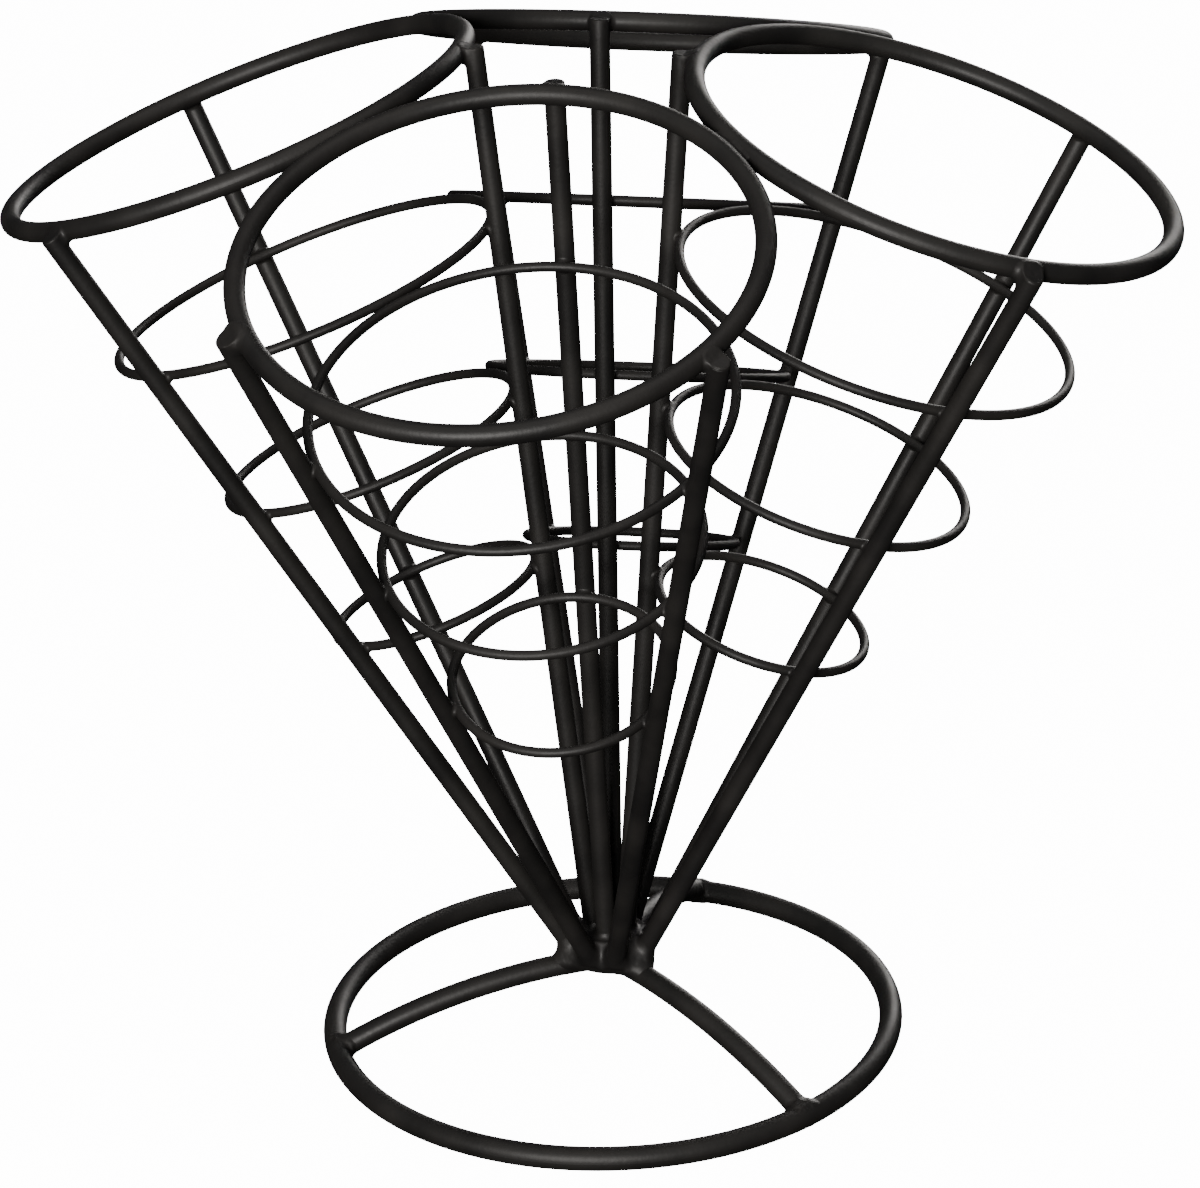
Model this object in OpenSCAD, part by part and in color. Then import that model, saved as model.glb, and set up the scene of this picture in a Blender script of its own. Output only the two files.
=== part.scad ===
// Four-cone snack stand welded from round wire: four open cones lean out from one hub,
// which three arched legs carry over a base ring. Millimetres, +Z up, origin on the floor
// at the centre of the base ring. The front cone lies towards -Y.

/* [Wire] */
// Diameter of the wire of the rims and the rods
rod_wire_d = 4; // [3:0.1:5]
// Diameter of the wire of the thin hoops
hoop_wire_d = 2; // [1.4:0.1:3]
// Diameter of the wire of the legs
leg_wire_d = 4.5; // [3.5:0.1:4.8]
// Diameter of the wire of the base ring
base_wire_d = 4.8; // [4.8:0.1:6.5]

/* [Cones] */
// Outer diameter of each cone's rim
rim_d = 99; // [80:1:125]
// Distance along a cone's axis from the feet of its rods to its rim
cone_length = 186.5; // [150:0.5:240]
// Distance along a cone's axis from one of its rings to the next
ring_pitch = 34.5; // [20:0.5:42]
// How far a rod's cut end stands past the middle of the rim wire
rod_end = 0.3; // [-1.5:0.1:2]
// Height of the broken edge round a rod's cut end
rod_edge = 0.4; // [0.1:0.1:0.8]

/* [Base] */
// Outer diameter of the base ring
base_d = 120; // [90:1:160]
// Height over the floor of the middle of the leg wire where the legs meet
hub_h = 16.2; // [11:0.1:30]
// How far the legs are turned about the stand's axis from the line of the back cone
leg_turn = -6.5; // [-30:0.5:30]

/* [Welds] */
// Share of their radii by which two crossing wires are pressed into each other
set_down = 0.15; // [0:0.01:0.25]
// Clearance between a wire and the saddle or cope that it seats in
seat_gap = 0.05; // [0.02:0.01:0.15]
// Clearance between neighbouring rods at their feet
foot_gap = 0.1; // [0.1:0.05:0.6]
// Clearance between neighbouring rims where they come closest
rim_gap = 0.1; // [0.05:0.05:0.6]
// Distance of each leg's mitred tip from the stand's axis
mitre_gap = 0.05; // [0.02:0.01:0.2]
// Diameter of the lump of weld that joins the feet of the rods and the legs
hub_weld_d = 16.4; // [14:0.1:22]
// How far the hub's weld climbs over the feet of the rods
hub_weld_climb = 4.5; // [2:0.1:6]
// How far the hub's weld hangs below the feet of the rods
hub_weld_drop = 2; // [1.2:0.1:4]
// Depth of the pocket in the hub's weld under each rod's foot
foot_pocket = 0.5; // [0.3:0.1:1]
// How far the hollow up the middle of the hub's weld clears the legs' mitred tips
hub_core_gap = 0.35; // [0.2:0.05:0.6]

/* [Hidden] */
CONES = ["front", "right", "back", "left"];
HOOPS = ["hoop_upper", "hoop_middle", "hoop_lower"];
RODS = ["rod_inner", "rod_left", "rod_right"];
LEGS = ["leg_back", "leg_left", "leg_right"];

black_coat = "#242426";

// Three rods stand 120 degrees apart round each cone: one towards the stand's axis, two outwards.
// Left and right are as seen from outside the cone, looking at the stand's axis.
rod_turns = [180, -60, 60];
leg_azimuths = [90, 210, 330];
first_cone_azimuth = -90;
cone_step = 90;
leg_sector = 120;

rim_r = (rim_d - rod_wire_d) / 2;
rim_seat = rod_wire_d * (1 - set_down);
hoop_seat = (rod_wire_d + hoop_wire_d) / 2 * (1 - set_down);

// The feet of one cone's rods stand on a circle, and the four inner feet on a square, each just clear
// of the next.
foot_r = (rod_wire_d + foot_gap) / sqrt(3);
cone_offset = (rod_wire_d + foot_gap) / sqrt(2) + foot_r;

// The cones lean out until each rim just clears the upright plane halfway to the next cone. The sine
// of the lean is the root of: (cone_offset + cone_length * s) / sqrt(2) = rim_r * sqrt(1 - s^2 / 2)
// + half the wire and the gap.
lean_arm = cone_offset - (rod_wire_d + rim_gap) / sqrt(2);
lean_span = pow(cone_length, 2) + pow(rim_r, 2);
lean_root = pow(cone_length * lean_arm, 2) - lean_span * (pow(lean_arm, 2) - 2 * pow(rim_r, 2));
cone_lean = asin((sqrt(lean_root) - cone_length * lean_arm) / lean_span);

// Each rod is a straight line up the outside of the rings.
rod_flare = atan((rim_r + rim_seat - foot_r) / cone_length);
rod_below = 2 * rod_wire_d;

base_r = (base_d - base_wire_d) / 2;
foot_z = hub_h + leg_wire_d / 2 + seat_gap;
cone_z = foot_z - foot_r * sin(cone_lean);

// A leg is one arc, level at the hub, that ends in the middle of the base ring's wire.
leg_rise = hub_h - base_wire_d / 2;
leg_arc_r = (pow(base_r, 2) + pow(leg_rise, 2)) / (2 * leg_rise);
leg_arc_angle = asin(base_r / leg_arc_r);

round_fn = 180;
wire_fn = 32;

// Rings are counted down the cone from 0, the rim.
function ring_at(k) = cone_length - k * ring_pitch;
function ring_wire_d(k) = k == 0 ? rod_wire_d : hoop_wire_d;
function rod_r_at(l) = foot_r + l * tan(rod_flare);
function ring_r(k) = k == 0 ? rim_r : rod_r_at(ring_at(k)) - hoop_seat;

module wire_ring(r, wire_d)
    rotate_extrude($fn = round_fn)
        translate([r, 0])
            circle(d = wire_d, $fn = wire_fn);

// Places what is drawn along +Z on the axis of cone i, with +X outwards.
module on_cone(i)
    rotate([0, 0, first_cone_azimuth + i * cone_step])
        translate([cone_offset, 0, cone_z])
            rotate([0, cone_lean, 0])
                children();

module cone_ring(k, clearance = 0)
    translate([0, 0, ring_at(k)])
        wire_ring(ring_r(k), ring_wire_d(k) + 2 * clearance);

module rim()
    color(black_coat) cone_ring(0);

module hoop(k)
    color(black_coat) cone_ring(k);

module rod_wire(clearance = 0) {
    shaft = (cone_length + rod_end) / cos(rod_flare) + rod_below - rod_edge;
    wire_d = rod_wire_d + 2 * clearance;
    translate([foot_r, 0, 0])
        rotate([0, rod_flare, 0])
            translate([0, 0, -rod_below]) {
                cylinder(h = shaft, d = wire_d, $fn = wire_fn);
                translate([0, 0, shaft])
                    cylinder(h = rod_edge, d1 = wire_d, d2 = wire_d - 2 * rod_edge, $fn = wire_fn);
            }
}

// All that lies under the level at which the rods stand on the legs.
module below_feet(clearance = 0) {
    trim_w = 4 * (cone_offset + foot_r + rod_below);
    translate([-trim_w / 2, -trim_w / 2, foot_z - clearance - trim_w])
        cube(trim_w);
}

// A rod has a shallow saddle where it crosses each ring, and its foot is cut level.
module rod(i, turn)
    color(black_coat)
        difference() {
            on_cone(i)
                difference() {
                    rotate([0, 0, turn])
                        rod_wire();
                    for (k = [0:len(HOOPS)])
                        cone_ring(k, seat_gap);
                }
            below_feet();
        }

module base_wire(clearance = 0)
    translate([0, 0, base_wire_d / 2])
        wire_ring(base_r, base_wire_d + 2 * clearance);

module base_ring()
    color(black_coat) base_wire();

module leg_arc(clearance = 0)
    translate([0, 0, hub_h - leg_arc_r])
        rotate([90, 0, 0])
            rotate([0, 0, 90 - leg_arc_angle])
                rotate_extrude(angle = leg_arc_angle, $fn = round_fn)
                    translate([leg_arc_r, 0])
                        circle(d = leg_wire_d + 2 * clearance, $fn = wire_fn);

// The sector of the hub that one leg fills, so that the three mitred tips meet at the axis.
module leg_sector_block() {
    far = base_d;
    half_w = (far - mitre_gap) * tan(leg_sector / 2);
    linear_extrude(hub_h + base_d)
        polygon([[mitre_gap, 0], [far, -half_w], [far, half_w]]);
}

// A leg is coped to the base ring at its foot and mitred to the other legs at the hub.
module leg(azimuth)
    color(black_coat)
        rotate([0, 0, azimuth + leg_turn])
            difference() {
                intersection() {
                    leg_arc();
                    leg_sector_block();
                }
                base_wire(seat_gap);
            }

// The lump is the middle part of a ball round the rods' feet.
module hub_weld_lump()
    translate([0, 0, foot_z])
        intersection() {
            sphere(d = hub_weld_d, $fn = round_fn);
            translate([-hub_weld_d / 2, -hub_weld_d / 2, -hub_weld_drop])
                cube([hub_weld_d, hub_weld_d, hub_weld_drop + hub_weld_climb]);
        }

// The weld closes round the wires with a clearance, and leaves a hollow up the stand's axis round the
// corners where the legs' tips meet.
module hub_weld() {
    core_r = (leg_wire_d / 2 + seat_gap) / sin(leg_sector / 2) + hub_core_gap;
    color(black_coat)
        difference() {
            hub_weld_lump();
            cylinder(h = foot_z + hub_weld_d, r = core_r, $fn = wire_fn);
            for (azimuth = leg_azimuths)
                rotate([0, 0, azimuth + leg_turn])
                    leg_arc(seat_gap);
            difference() {
                for (i = [0:len(CONES) - 1], turn = rod_turns)
                    on_cone(i) rotate([0, 0, turn]) rod_wire(seat_gap);
                below_feet(foot_pocket);
            }
        }
}

base_ring();
hub_weld();
for (j = [0:len(LEGS) - 1])
    leg(leg_azimuths[j]);
for (i = [0:len(CONES) - 1]) {
    on_cone(i) rim();
    for (k = [0:len(HOOPS) - 1])
        on_cone(i) hoop(k + 1);
    for (j = [0:len(RODS) - 1])
        rod(i, rod_turns[j]);
}
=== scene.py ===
import bmesh
import bpy
import math
import numpy as np
from mathutils import Matrix, Vector


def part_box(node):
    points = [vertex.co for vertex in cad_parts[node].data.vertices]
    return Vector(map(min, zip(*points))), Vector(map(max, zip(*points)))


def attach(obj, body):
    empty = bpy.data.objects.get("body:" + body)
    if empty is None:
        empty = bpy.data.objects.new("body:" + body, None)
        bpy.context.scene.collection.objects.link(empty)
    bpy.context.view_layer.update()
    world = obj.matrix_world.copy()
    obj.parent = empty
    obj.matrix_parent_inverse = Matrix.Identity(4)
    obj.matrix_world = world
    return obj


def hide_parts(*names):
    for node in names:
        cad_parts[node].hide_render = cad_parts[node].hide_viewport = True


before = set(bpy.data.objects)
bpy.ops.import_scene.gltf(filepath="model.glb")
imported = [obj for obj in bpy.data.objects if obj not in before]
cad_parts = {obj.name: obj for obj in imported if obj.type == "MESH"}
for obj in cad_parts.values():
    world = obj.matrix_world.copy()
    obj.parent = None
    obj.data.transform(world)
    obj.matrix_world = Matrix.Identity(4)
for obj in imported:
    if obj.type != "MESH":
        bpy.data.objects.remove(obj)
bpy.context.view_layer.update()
millimetre = 0.001
far = 1.0  # metres, past everything
cones = ["front", "right", "back", "left"]
hoops = ["hoop_upper", "hoop_middle", "hoop_lower"]
rods = ["rod_inner", "rod_left", "rod_right"]
legs = ["leg_back", "leg_left", "leg_right"]


# Camera

view = {
    "imageWidth": 1200,       # pixels
    "focalLength": 4585.2,    # pixels
    "sensorWidth": 36,        # millimetres
    "azimuth": 12.83,         # degrees, from the side that the front cone faces
    "elevation": 23.874,      # degrees
    "roll": -2.087,           # degrees, the photo isn't quite level
    "distance": 0.91295,      # metres, from the target
    "targetSide": 0.00054,    # metres, to the right of the stand's axis
    "targetHeight": 0.09799,  # metres
    "farthest": 30,           # metres that the camera sees
}


def makeCamera(options):
    azimuth, elevation, roll = (math.radians(options[name]) for name in ("azimuth", "elevation", "roll"))
    side = Vector((math.cos(azimuth), math.sin(azimuth), 0))
    level = Vector((math.sin(azimuth), -math.cos(azimuth), 0))
    back = level * math.cos(elevation) + Vector((0, 0, math.sin(elevation)))
    up = back.cross(side)
    rolledSide = side * math.cos(roll) + up * math.sin(roll)
    rolledUp = up * math.cos(roll) - side * math.sin(roll)
    turned = Matrix((rolledSide, rolledUp, back)).transposed().to_4x4()
    target = side * options["targetSide"] + Vector((0, 0, options["targetHeight"]))
    camera = bpy.data.objects.new("camera", bpy.data.cameras.new("camera"))
    camera.data.sensor_width = options["sensorWidth"]
    camera.data.lens = options["focalLength"] * options["sensorWidth"] / options["imageWidth"]
    camera.data.clip_end = options["farthest"]
    camera.matrix_world = Matrix.Translation(target + back * options["distance"]) @ turned
    bpy.context.scene.collection.objects.link(camera)
    bpy.context.scene.camera = camera


makeCamera(view)
print("camera set")


# Node trees written as sums

class Signal:  # a node's socket that takes part in sums
    def __init__(self, tree, socket):
        self.tree = tree
        self.socket = socket

    def __add__(self, other):
        return self.tree.maths("ADD", self, other)

    def __radd__(self, other):
        return self.tree.maths("ADD", other, self)

    def __sub__(self, other):
        return self.tree.maths("SUBTRACT", self, other)

    def __rsub__(self, other):
        return self.tree.maths("SUBTRACT", other, self)

    def __mul__(self, other):
        return self.tree.maths("MULTIPLY", self, other)

    def __rmul__(self, other):
        return self.tree.maths("MULTIPLY", other, self)

    def __truediv__(self, other):
        return self.tree.maths("DIVIDE", self, other)

    def __rtruediv__(self, other):
        return self.tree.maths("DIVIDE", other, self)


class Tree:
    def __init__(self, nodeTree):
        self.nodeTree = nodeTree

    def make(self, kind, settings={}, values={}, output=0):
        node = self.nodeTree.nodes.new(kind)
        for name, setting in settings.items():
            setattr(node, name, setting)
        for key, value in values.items():
            self.put(node.inputs[key], value)
        return Signal(self, node.outputs[output])

    def put(self, socket, value):
        if isinstance(value, Signal):
            self.nodeTree.links.new(value.socket, socket)
        else:
            socket.default_value = value

    def maths(self, operation, *terms):
        return self.make("ShaderNodeMath", {"operation": operation}, dict(enumerate(terms)))

    def vector(self, operation, *terms):
        measures = ("DOT_PRODUCT", "LENGTH", "DISTANCE")
        return self.make("ShaderNodeVectorMath", {"operation": operation}, dict(enumerate(terms)),
                         "Value" if operation in measures else "Vector")

    def least(self, a, b):
        return self.maths("MINIMUM", a, b)

    def most(self, a, b):
        return self.maths("MAXIMUM", a, b)

    def root(self, a):
        return self.maths("SQRT", a)


# The wires, measured on the solids

def unit(vector):
    return vector / np.linalg.norm(vector)


def corners(name):
    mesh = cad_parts[name].data
    places = np.zeros(len(mesh.vertices) * 3)
    mesh.vertices.foreach_get("co", places)
    return places.reshape(-1, 3)


def measureRing(name):
    places = corners(name)
    centre = (places.min(0) + places.max(0)) / 2
    axis = np.linalg.svd(places - centre, full_matrices=False)[2][2]
    axis = axis if axis[2] > 0 else -axis
    across = places - centre
    across -= np.outer(across @ axis, axis)
    reach = np.linalg.norm(across, axis=1)
    return {"centre": centre, "axis": axis,
            "radius": (reach.max() + reach.min()) / 2, "wire": (reach.max() - reach.min()) / 2}


def measureRod(name):  # from the middle of its foot to the middle of its cut end
    places = corners(name)
    near = 0.05 * millimetre
    low = places[places[:, 2] < places[:, 2].min() + near]
    foot = (low.min(0) + low.max(0)) / 2
    direction = np.linalg.svd(places - places.mean(0), full_matrices=False)[2][0]
    direction = direction if direction[2] > 0 else -direction
    along = places @ direction
    top = places[along > along.max() - near]
    end = (top.min(0) + top.max(0)) / 2
    direction = (end - foot) / np.linalg.norm(end - foot)
    across = places - foot
    across -= np.outer(across @ direction, direction)
    return {"foot": foot, "direction": direction,
            "length": np.linalg.norm(end - foot), "wire": np.linalg.norm(across, axis=1).max()}


def measureLeg(name, ring):  # an arc, level at the hub, that ends in the middle of the ring's wire
    places = corners(name)
    way = unit(places.mean(0) * np.array([1, 1, 0]))
    axis = np.array([-way[1], way[0], 0])
    wire = np.abs(places @ axis).max()
    drop = places[:, 2].max() - wire - ring["centre"][2]
    radius = (ring["radius"] ** 2 + drop ** 2) / (2 * drop)
    hubHeight = ring["centre"][2] + drop
    return {"centre": np.array([0, 0, hubHeight - radius]), "axis": axis, "radius": radius, "wire": wire,
            "way": way, "hubHeight": hubHeight}


ringNames = ["base_ring"] + [cone + "_" + part for cone in cones for part in ["rim"] + hoops]
rings = {name: measureRing(name) for name in ringNames}
straights = {name: measureRod(name) for name in [cone + "_" + part for cone in cones for part in rods]}
legArcs = [measureLeg(name, rings["base_ring"]) for name in legs]
print("measured", len(rings), "rings,", len(straights), "rods and", len(legArcs), "legs")


# Finishes

coat = {
    "colour": (0.0085, 0.0080, 0.0078),   # the black of the powder coat
    "dusty": (0.0170, 0.0157, 0.0145),    # where it is a little greyer
    "roughness": (0.44, 0.60),
    "cloudShare": 0.6,                    # of the change in roughness, the rest follows the peel
    "cloudsPerMetre": 70,
    "cloudRange": (0.35, 0.7),            # of the noise, from no cloud to full cloud
    "cloudDetail": 3,
    "peelPerMetre": 1100,                 # orange peel, about a millimetre across
    "peelDetail": 2,
    "peelDepth": 0.00004,                 # metres
    "ior": 1.38,
}


def makeCoat(name, options):
    material = bpy.data.materials.new(name)
    material.use_nodes = True
    tree = Tree(material.node_tree)
    shader = material.node_tree.nodes["Principled BSDF"]
    place = tree.make("ShaderNodeTexCoord", output="Object")
    clouds = tree.make("ShaderNodeTexNoise", {}, {
        "Vector": place, "Scale": options["cloudsPerMetre"], "Detail": options["cloudDetail"]})
    peel = tree.make("ShaderNodeTexNoise", {}, {
        "Vector": place, "Scale": options["peelPerMetre"], "Detail": options["peelDetail"]})
    low, high = options["cloudRange"]
    patches = tree.make("ShaderNodeMapRange", {}, {"Value": clouds, "From Min": low, "From Max": high})
    colour = tree.make("ShaderNodeMix", {"data_type": "RGBA"},
                       {0: patches, 6: (*options["colour"], 1), 7: (*options["dusty"], 1)}, 2)
    smooth, rough = options["roughness"]
    share = options["cloudShare"]
    roughness = smooth + (rough - smooth) * (patches * share + peel * (1 - share))
    bump = tree.make("ShaderNodeBump", {}, {"Height": peel, "Distance": options["peelDepth"], "Strength": 1})
    tree.put(shader.inputs["Base Color"], colour)
    tree.put(shader.inputs["Roughness"], roughness)
    tree.put(shader.inputs["Normal"], bump)
    shader.inputs["IOR"].default_value = options["ior"]
    return material


blackCoat = makeCoat("blackCoat", coat)
weldCoat = makeCoat("weldCoat", {**coat, "peelPerMetre": 900, "peelDepth": 0.00006})
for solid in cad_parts.values():
    solid.data.materials.clear()
    solid.data.materials.append(blackCoat)
print("wires coated")


# Welds: metal that fills the corner between two wires

weld = {  # what every weld shares
    "lump": 0.35 * millimetre,     # depth of the lumps
    "lumpsPerMetre": 520,
    "inset": 0.05 * millimetre,    # how deep the metal starts inside the wires
    "lowest": 0.3 * millimetre,    # over the table
    "grain": 0.2 * millimetre,     # spacing of the points that the metal is measured at
    "band": 4,                     # grains over which its density falls from full to none
    "margin": 2,                   # grains between the metal and the sides of the cube round it
    "seed": 11,
}
halfFull = 0.5  # the density at the metal's surface


def lineDistance(tree, place, start, direction, length, wire):
    offset = tree.vector("SUBTRACT", place, start)
    along = tree.vector("DOT_PRODUCT", offset, direction)
    across = tree.vector("LENGTH", tree.vector("CROSS_PRODUCT", offset, direction))
    return tree.most(across - wire, along - length)


def ringDistance(tree, place, centre, axis, radius, wire):
    offset = tree.vector("SUBTRACT", place, centre)
    rise = tree.vector("DOT_PRODUCT", offset, axis)
    across = tree.vector("LENGTH", tree.vector("CROSS_PRODUCT", offset, axis)) - radius
    return tree.root(across * across + rise * rise) - wire


def bothWires(tree, first, second, blend):  # the distance to two wires, filled out where they are close
    nearness = tree.most(blend - tree.maths("ABSOLUTE", first - second), 0)
    return tree.least(first, second) - nearness * nearness / (4 * blend), nearness / blend


def melt(tree, distances, spread):  # the distance to many shapes that run into each other
    total = sum(tree.maths("EXPONENT", distance * (-1 / spread)) for distance in distances)
    return tree.maths("LOGARITHM", total, math.e) * -spread


def fade(tree, value, start, end):  # 0 before the start, 1 past the end
    return tree.make("ShaderNodeMapRange", {"interpolation_type": "SMOOTHSTEP"},
                     {"Value": value, "From Min": start, "From Max": end})


def addLumps(tree, place, metal, nearness, depth):
    lumps = tree.make("ShaderNodeTexNoise", {"noise_dimensions": "4D"}, {
        "Vector": place, "W": weld["seed"], "Scale": weld["lumpsPerMetre"], "Detail": 1})
    return metal + nearness * (lumps - 0.5) * depth


def pointsAcross(reach, grain):  # of a cube that reaches this far from its middle
    return int(round(2 * reach / grain))


def openTree(name, kinds):  # a new tree with these named inputs
    tree = Tree(bpy.data.node_groups.new(name, "GeometryNodeTree"))
    for label, kind in kinds.items():
        tree.nodeTree.interface.new_socket(label, in_out="INPUT", socket_type="NodeSocket" + kind)
    inlet = tree.nodeTree.nodes.new("NodeGroupInput")
    return tree, {label: Signal(tree, inlet.outputs[label]) for label in kinds}


def closeTree(tree, place, distance, middle, reach, points, grain):  # the metal's mesh, inside a ball
    ball = tree.vector("DISTANCE", place, middle) - reach + weld["margin"] * grain
    corner = tree.make("ShaderNodeCombineXYZ", {}, {0: reach, 1: reach, 2: reach})
    density = halfFull - tree.most(distance, ball) / (weld["band"] * grain)
    volume = tree.make("GeometryNodeVolumeCube", {}, {
        "Density": tree.most(tree.least(density, 1), 0),
        "Min": tree.vector("SUBTRACT", middle, corner), "Max": tree.vector("ADD", middle, corner),
        "Resolution X": points, "Resolution Y": points, "Resolution Z": points})
    mesh = tree.make("GeometryNodeVolumeToMesh", {"resolution_mode": "GRID"},
                     {"Volume": volume, "Threshold": halfFull})
    mesh = tree.make("GeometryNodeSetShadeSmooth", {}, {"Geometry": mesh})
    mesh = tree.make("GeometryNodeRealizeInstances", {}, {"Geometry": mesh})
    mesh = tree.make("GeometryNodeSetMaterial", {}, {"Geometry": mesh, "Material": weldCoat})
    tree.nodeTree.interface.new_socket("Metal", in_out="OUTPUT", socket_type="NodeSocketGeometry")
    outlet = tree.nodeTree.nodes.new("NodeGroupOutput")
    tree.put(outlet.inputs[0], mesh)
    return tree.nodeTree


def runTree(nodeTree, values):  # the plain mesh that a tree makes from these values
    carrier = bpy.data.objects.new("carrier", bpy.data.meshes.new("carrier"))
    bpy.context.scene.collection.objects.link(carrier)
    modifier = carrier.modifiers.new("tree", "NODES")
    modifier.node_group = nodeTree
    for item in nodeTree.interface.items_tree:
        if item.in_out == "INPUT":
            value = values[item.name]
            modifier[item.identifier] = value if np.isscalar(value) else [float(part) for part in value]
    bpy.context.view_layer.update()
    finished = carrier.evaluated_get(bpy.context.evaluated_depsgraph_get())
    made = bpy.data.meshes.new_from_object(finished)
    bpy.data.objects.remove(carrier)
    return made


def placePiece(name, meshes):  # one object of several meshes, on the stand's only body
    places, faces, count = [], [], 0
    for mesh in meshes:
        part = np.zeros(len(mesh.vertices) * 3)
        mesh.vertices.foreach_get("co", part)
        places.append(part.reshape(-1, 3))
        faces += [[count + corner for corner in face.vertices] for face in mesh.polygons]
        count += len(mesh.vertices)
        bpy.data.meshes.remove(mesh)
    joined = bpy.data.meshes.new(name)
    joined.from_pydata(np.concatenate(places).tolist(), [], faces)
    joined.polygons.foreach_set("use_smooth", [True] * len(joined.polygons))
    joined.materials.append(weldCoat)
    piece = bpy.data.objects.new(name, joined)
    bpy.context.scene.collection.objects.link(piece)
    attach(piece, "root")
    print(name, "made of", len(places), "meshes and", len(joined.polygons), "faces")
    return piece


# Welds of two wires, the first of them always a ring

ringInputs = {"Centre": "Vector", "Axis": "Vector", "Radius": "Float", "Wire": "Float"}
rodInputs = {"Foot": "Vector", "Direction": "Vector", "Length": "Float", "Wire": "Float"}
weldInputs = {"Middle": "Vector", "Reach": "Float", "Points": "Int", "Blend": "Float", "Lump": "Float",
              "Edge": "Float"}  # the second wire ends at the edge, a distance from the stand's axis


def weldTree(name, secondInputs, secondDistance):
    kinds = dict(weldInputs)
    kinds.update({"First " + label: kind for label, kind in ringInputs.items()})
    kinds.update({"Second " + label: kind for label, kind in secondInputs.items()})
    tree, given = openTree(name, kinds)
    place = tree.make("GeometryNodeInputPosition")
    first = ringDistance(tree, place, *(given["First " + label] for label in ringInputs))
    second = secondDistance(tree, place, *(given["Second " + label] for label in secondInputs))
    fromAxis = tree.vector("LENGTH", tree.vector("MULTIPLY", place, (1, 1, 0)))
    metal, nearness = bothWires(tree, first, tree.most(second, fromAxis - given["Edge"]), given["Blend"])
    metal = addLumps(tree, place, metal, nearness, given["Lump"]) + weld["inset"]
    height = tree.make("ShaderNodeSeparateXYZ", {}, {0: place}, "Z")
    metal = tree.most(metal, weld["lowest"] - height)
    return closeTree(tree, place, metal, given["Middle"], given["Reach"], given["Points"], weld["grain"])


rodTree = weldTree("weldOnRod", rodInputs, lineDistance)
ringTree = weldTree("weldOnRing", ringInputs, ringDistance)


def labelled(prefix, wire, inputs):
    return {prefix + " " + label: wire[label.lower()] for label in inputs}


def runWeld(nodeTree, secondInputs, first, second, middle, reach, blend, lump=weld["lump"], edge=far):
    values = {"Middle": middle, "Reach": reach, "Points": pointsAcross(reach, weld["grain"]),
              "Blend": blend, "Lump": lump, "Edge": edge}
    values.update(labelled("First", first, ringInputs))
    values.update(labelled("Second", second, secondInputs))
    return runTree(nodeTree, values)


crossing = {  # a rod crosses a ring
    "hoopBlend": 1.15 * millimetre,  # how widely the metal spreads in the corner
    "hoopReach": 2.9 * millimetre,   # how far the metal reaches from the crossing
    "rimBlend": 1.7 * millimetre,
    "rimReach": 3,                   # millimetres, and one more for each share of melted metal
    "meltedEnds": {"front_rod_left": 1.9, "right_rod_left": 1.45},  # shares of the rim's blend, elsewhere 1
}


def weldCrossing(cone, ringPart, rodPart):
    ring, rod = rings[cone + "_" + ringPart], straights[cone + "_" + rodPart]
    along = (ring["centre"] - rod["foot"]) @ ring["axis"] / (rod["direction"] @ ring["axis"])
    outward = unit(rod["foot"] + rod["direction"] * along - ring["centre"])
    middle = ring["centre"] + outward * (ring["radius"] + ring["wire"])
    blend, reach = crossing["hoopBlend"], crossing["hoopReach"]
    if ringPart == "rim":
        share = crossing["meltedEnds"].get(cone + "_" + rodPart, 1)
        blend, reach = crossing["rimBlend"] * share, (crossing["rimReach"] + share) * millimetre
    return runWeld(rodTree, rodInputs, ring, rod, middle, reach, blend)


for cone in cones:
    placePiece(cone + "_welds", [weldCrossing(cone, ringPart, rodPart)
                                 for ringPart in ["rim"] + hoops for rodPart in rods])


touch = {"blend": 1.8 * millimetre, "reach": 5.6 * millimetre}  # two rims touch


def weldRims(cone, nextCone):
    first, second = rings[cone + "_rim"], rings[nextCone + "_rim"]
    towards = unit(second["centre"] - first["centre"])
    nearest = [rim["centre"] + unit(way - (way @ rim["axis"]) * rim["axis"]) * rim["radius"]
               for rim, way in ((first, towards), (second, -towards))]
    middle = (nearest[0] + nearest[1]) / 2
    return runWeld(ringTree, ringInputs, first, second, middle, touch["reach"], touch["blend"])


placePiece("rim_welds", [weldRims(cones[i - 1], cones[i]) for i in range(len(cones))])


legFoot = {  # a leg's foot meets the base ring
    "blend": 2.2 * millimetre,
    "reach": 6 * millimetre,
    "lump": 1.1 * millimetre,
}


def weldFoot(leg):
    ring = rings["base_ring"]
    middle = leg["way"] * (ring["radius"] - ring["wire"]) + np.array([0, 0, ring["centre"][2]])
    return runWeld(ringTree, ringInputs, ring, leg, middle, legFoot["reach"], legFoot["blend"],
                   legFoot["lump"], ring["radius"])


placePiece("foot_welds", [weldFoot(leg) for leg in legArcs])


# The hub, where the rods and the legs run into the lump that joins them

hub = {
    "blend": 5.5 * millimetre,
    "leastBlend": 0.1,                               # share of the blend that is left under the rods' feet
    "spread": 0.7 * millimetre,                      # how far the rods, or the legs, run into each other
    "grain": 0.26 * millimetre,
    "reach": 13.4 * millimetre,
    "middle": 3 * millimetre,                        # of the metal, over the rods' feet
    "fadeIn": (-4.5 * millimetre, -1 * millimetre),  # heights over the feet where the blend grows
    "fadeUp": (5 * millimetre, 11.5 * millimetre),   # heights over the feet where the metal thins out
    "fadeOut": (9.5 * millimetre, 13 * millimetre),  # distances from the axis where it does
    "thinUp": 1.2 * millimetre,
    "thinOut": 0.5 * millimetre,
}


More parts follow.
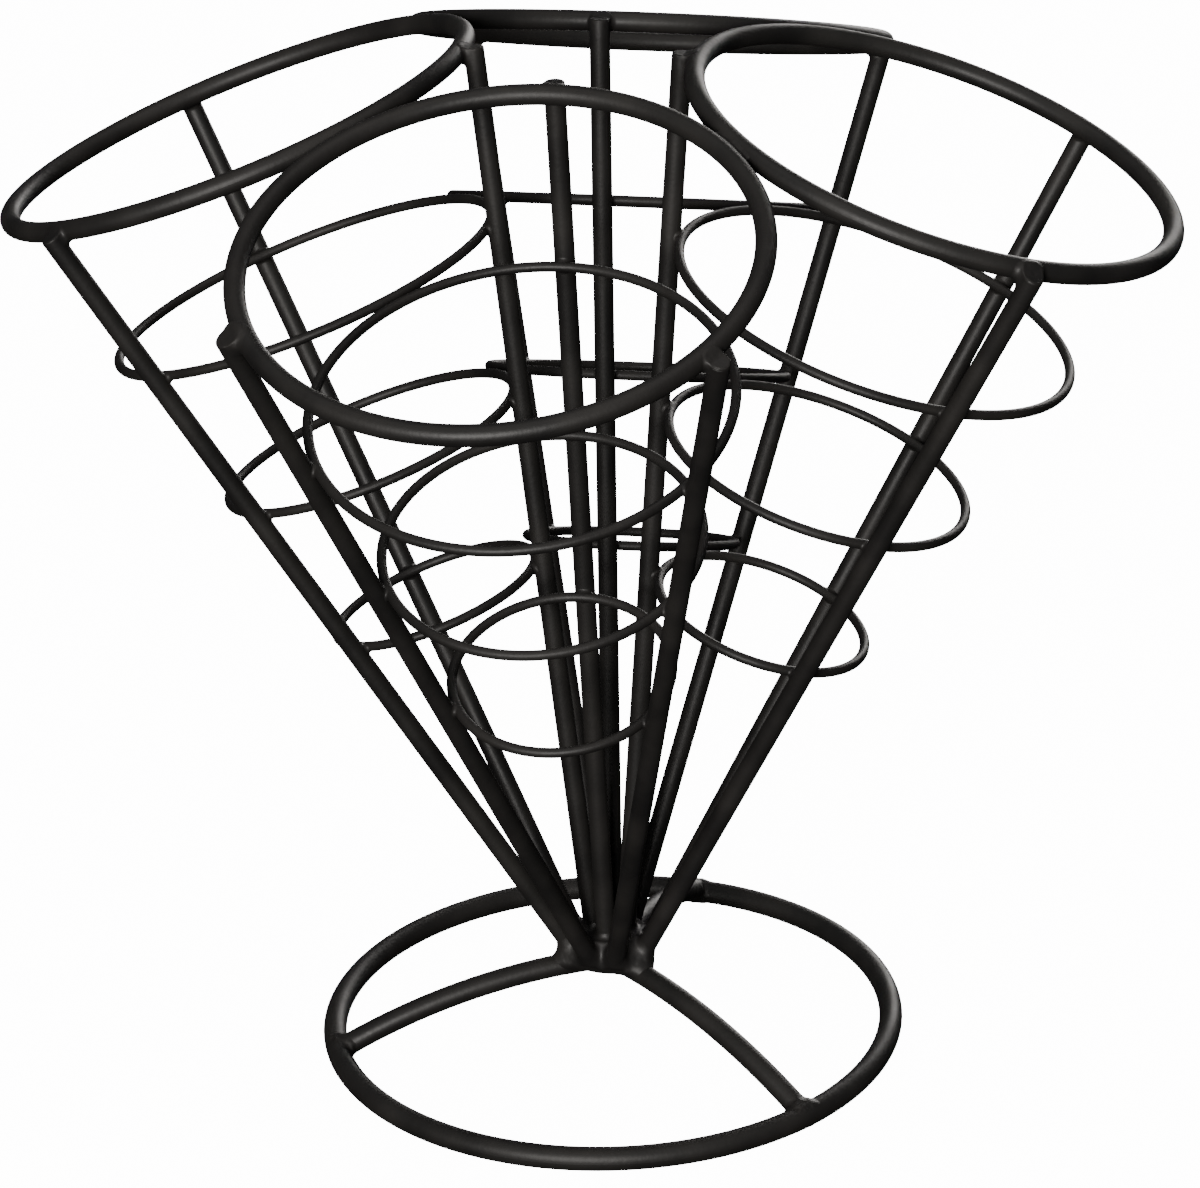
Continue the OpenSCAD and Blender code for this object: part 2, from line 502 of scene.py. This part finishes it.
def hubTree(rodList, legList, lumpBox):
    tree, given = openTree("weldAtHub", {"Blend": "Float", "Lump": "Float"})
    place = tree.make("GeometryNodeInputPosition")
    footHeight, hubHeight = float(rodList[0]["foot"][2]), float(legList[0]["hubHeight"])
    height = tree.make("ShaderNodeSeparateXYZ", {}, {0: place}, "Z")
    overFeet = height - footHeight
    flat = tree.vector("MULTIPLY", place, (1, 1, 0))
    fromAxis = tree.vector("LENGTH", flat)

    low, high = lumpBox
    slab = tree.maths("ABSOLUTE", height - (low.z + high.z) / 2) - (high.z - low.z) / 2
    lump = tree.most(tree.vector("DISTANCE", place, (0, 0, footHeight)) - (high.x - low.x) / 2, slab)
    shafts = [lineDistance(tree, place, tuple(rod["foot"]), tuple(rod["direction"]), far, float(rod["wire"]))
              for rod in rodList]
    upper = melt(tree, [tree.most(shaft, footHeight - height) for shaft in shafts] + [lump], hub["spread"])

    sag = fromAxis * fromAxis / (2 * float(legList[0]["radius"]))  # a leg's drop at this distance
    rise = tree.make("ShaderNodeCombineXYZ", {}, {2: height + sag - hubHeight})
    level = tree.vector("ADD", flat, rise)  # in this place the legs are straight and level
    tubes = []
    for leg in legList:
        way = tuple(leg["way"])
        along = tree.most(tree.vector("DOT_PRODUCT", level, way), 0)
        nearest = tree.make("ShaderNodeVectorMath", {"operation": "SCALE"}, {0: way, "Scale": along})
        tubes.append(tree.vector("DISTANCE", level, nearest) - float(leg["wire"]))

    grown = hub["leastBlend"] + (1 - hub["leastBlend"]) * fade(tree, overFeet, *hub["fadeIn"])
    metal, nearness = bothWires(tree, upper, melt(tree, tubes, hub["spread"]), given["Blend"] * grown)
    thinning = (fade(tree, overFeet, *hub["fadeUp"]) * hub["thinUp"]
                + fade(tree, fromAxis, *hub["fadeOut"]) * hub["thinOut"])
    metal = addLumps(tree, place, metal, nearness, given["Lump"]) + weld["inset"] + thinning
    middle = (0, 0, footHeight + hub["middle"])
    points = pointsAcross(hub["reach"], hub["grain"])
    return closeTree(tree, place, metal, middle, hub["reach"], points, hub["grain"])


weldAtHub = hubTree(list(straights.values()), legArcs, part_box("hub_weld"))
hubMetal = placePiece("hub_metal", [runTree(weldAtHub, {"Blend": hub["blend"], "Lump": weld["lump"]})])
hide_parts("hub_weld")
print("stand welded")


# The studio

studio = {
    "floorRadius": 3.0,        # metres, where the floor starts to turn up into the wall
    "bendRadius": 2.0,
    "wallHeight": 6.0,
    "bendSteps": 12,
    "turnSteps": 96,
    "floorColour": (0.93, 0.93, 0.93),
    "floorRoughness": 0.9,
    "floorGlow": 14.0,         # it shines towards the camera only
    "skyColour": (0.95, 0.96, 1.0),
    "skyAbove": 0.19,
    "skyBelow": 0.015,
    "horizon": (0.0, 1.0),     # heights of a direction between which the sky brightens
}
lamps = {  # square lamps, in metres and watts
    "overhead": {"place": (0.1, -0.2, 1.6), "size": 1.4, "power": 6, "colour": (1.0, 0.95, 0.90)},
    "rear": {"place": (0.3, 2.0, 0.55), "size": 0.8, "power": 18, "colour": (1.0, 0.97, 0.94)},
    "front": {"place": (-0.1, -1.9, 0.62), "size": 0.8, "power": 56, "colour": (1.0, 0.97, 0.94)},
}
lampTarget = (0, 0, 0.1)  # about halfway up the stand


def makeBackdrop(options):  # a round floor that turns up into a wall
    flat, bend, bends = options["floorRadius"], options["bendRadius"], options["bendSteps"]
    profile = [(0.0, 0.0)]
    for i in range(bends + 1):
        angle = math.pi / 2 * i / bends
        profile.append((flat + bend * math.sin(angle), bend * (1 - math.cos(angle))))
    profile.append((flat + bend, options["wallHeight"]))
    sheet = bmesh.new()
    points = [sheet.verts.new((x, 0, z)) for x, z in profile]
    edges = [sheet.edges.new(pair) for pair in zip(points, points[1:])]
    bmesh.ops.spin(sheet, geom=points + edges, axis=(0, 0, 1), cent=(0, 0, 0),
                   steps=options["turnSteps"], angle=2 * math.pi)
    bmesh.ops.remove_doubles(sheet, verts=sheet.verts, dist=millimetre)
    bmesh.ops.recalc_face_normals(sheet, faces=sheet.faces)
    for face in sheet.faces:
        face.smooth = True
    mesh = bpy.data.meshes.new("backdrop")
    sheet.to_mesh(mesh)
    sheet.free()
    return mesh


def makeFloor(options):
    mesh = makeBackdrop(options)
    floor = bpy.data.objects.new("floor", mesh)
    bpy.context.scene.collection.objects.link(floor)
    floor.visible_diffuse = floor.visible_glossy = floor.visible_shadow = False
    paint = bpy.data.materials.new("paleFloor")
    paint.use_nodes = True
    shader = paint.node_tree.nodes["Principled BSDF"]
    shader.inputs["Base Color"].default_value = (*options["floorColour"], 1)
    shader.inputs["Roughness"].default_value = options["floorRoughness"]
    shader.inputs["Emission Color"].default_value = (1, 1, 1, 1)
    shader.inputs["Emission Strength"].default_value = options["floorGlow"]
    mesh.materials.append(paint)


def makeSky(options):
    sky = bpy.data.worlds.new("studio")
    bpy.context.scene.world = sky
    sky.use_nodes = True
    tree = Tree(sky.node_tree)
    direction = tree.make("ShaderNodeTexCoord", output="Generated")
    height = tree.make("ShaderNodeSeparateXYZ", {}, {0: direction}, "Z")
    low, high = options["horizon"]
    strength = tree.make("ShaderNodeMapRange", {"interpolation_type": "SMOOTHSTEP"}, {
        "Value": height, "From Min": low, "From Max": high,
        "To Min": options["skyBelow"], "To Max": options["skyAbove"]})
    background = sky.node_tree.nodes["Background"]
    background.inputs["Color"].default_value = (*options["skyColour"], 1)
    tree.put(background.inputs["Strength"], strength)


def addLamp(name, options):
    lamp = bpy.data.objects.new(name, bpy.data.lights.new(name, "AREA"))
    lamp.data.size = options["size"]
    lamp.data.energy = options["power"]
    lamp.data.color = options["colour"]
    lamp.location = options["place"]
    towards = Vector(lampTarget) - Vector(options["place"])
    lamp.rotation_euler = towards.to_track_quat("-Z", "Y").to_euler()
    bpy.context.scene.collection.objects.link(lamp)


makeFloor(studio)
makeSky(studio)
for name, options in lamps.items():
    addLamp(name, options)
print("studio lit")
